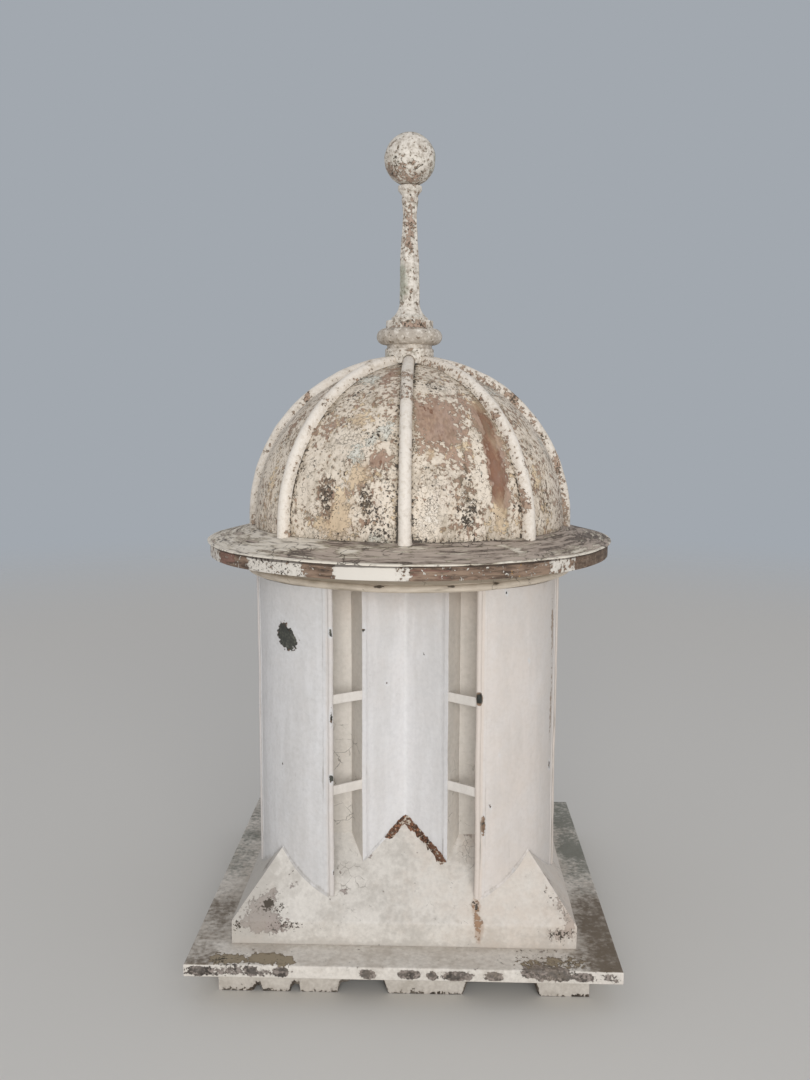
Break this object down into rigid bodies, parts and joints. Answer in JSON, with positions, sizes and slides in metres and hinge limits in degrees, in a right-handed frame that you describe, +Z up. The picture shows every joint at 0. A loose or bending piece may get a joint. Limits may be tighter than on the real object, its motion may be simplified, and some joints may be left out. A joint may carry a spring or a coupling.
{
  "type": "roof ventilator",
  "caption": "Fixed domed roof ventilator: curved and vee sheet-metal baffles on a hipped plinth and square flange, with a ribbed dome and a ball finial.",
  "frame": {"origin": "centre line of the ventilator at the foot of the skirt, which is its lowest point", "axes": "+Z up along the finial; -Y is the front, the side whose skirt has rusted through; +X to the right of someone facing the front"},
  "size_m": [0.6399, 0.64, 1.2517],
  "materials": {
    "skirt_paint": "weathered white oil paint on corroded sheet steel",
    "flange_paint": "weathered white paint, flaked to grey zinc, on a sheet-covered board",
    "plinth_paint": "crazed white oil paint on sheet metal",
    "baffle_paint": "aged white oil paint on sheet metal",
    "vee_paint": "aged white oil paint on sheet metal",
    "inner_paint": "dull cream paint on sheet metal",
    "brace_paint": "aged white oil paint on flat bar",
    "neck_paint": "aged cream paint on pressed moulding",
    "fascia_paint": "flaking white paint over a brown undercoat",
    "brim_paint": "worn paint over brown undercoat and zinc",
    "dome_paint": "flaking cream paint over ochre and red-brown coats",
    "roll_paint": "worn cream paint",
    "finial_paint": "mottled off-white paint with lichen"
  },
  "bodies": {
    "root": {"skirt": "skirt_paint", "base_flange": "flange_paint", "plinth_front": "plinth_paint", "plinth_right": "plinth_paint", "plinth_back": "plinth_paint", "plinth_left": "plinth_paint", "corner_baffle_front_right": "baffle_paint", "corner_baffle_back_right": "baffle_paint", "corner_baffle_back_left": "baffle_paint", "corner_baffle_front_left": "baffle_paint", "vee_baffle_front": "vee_paint", "vee_baffle_right": "vee_paint", "vee_baffle_back": "vee_paint", "vee_baffle_left": "vee_paint", "inner_baffles_front": "inner_paint", "inner_baffles_right": "inner_paint", "inner_baffles_back": "inner_paint", "inner_baffles_left": "inner_paint", "slot_braces": "brace_paint", "chamber_lid": "inner_paint", "neck_ring": "neck_paint", "soffit": "neck_paint", "fascia": "fascia_paint", "brim": "brim_paint", "dome_gore_1": "dome_paint", "dome_gore_2": "dome_paint", "dome_gore_3": "dome_paint", "dome_gore_4": "dome_paint", "dome_gore_5": "dome_paint", "dome_gore_6": "dome_paint", "dome_gore_7": "dome_paint", "dome_gore_8": "dome_paint", "dome_roll_1": "roll_paint", "dome_roll_2": "roll_paint", "dome_roll_3": "roll_paint", "dome_roll_4": "roll_paint", "dome_roll_5": "roll_paint", "dome_roll_6": "roll_paint", "dome_roll_7": "roll_paint", "dome_roll_8": "roll_paint", "finial_collar": "finial_paint", "finial_spindle": "finial_paint", "finial_ball": "finial_paint"}
  },
  "joints": []
}
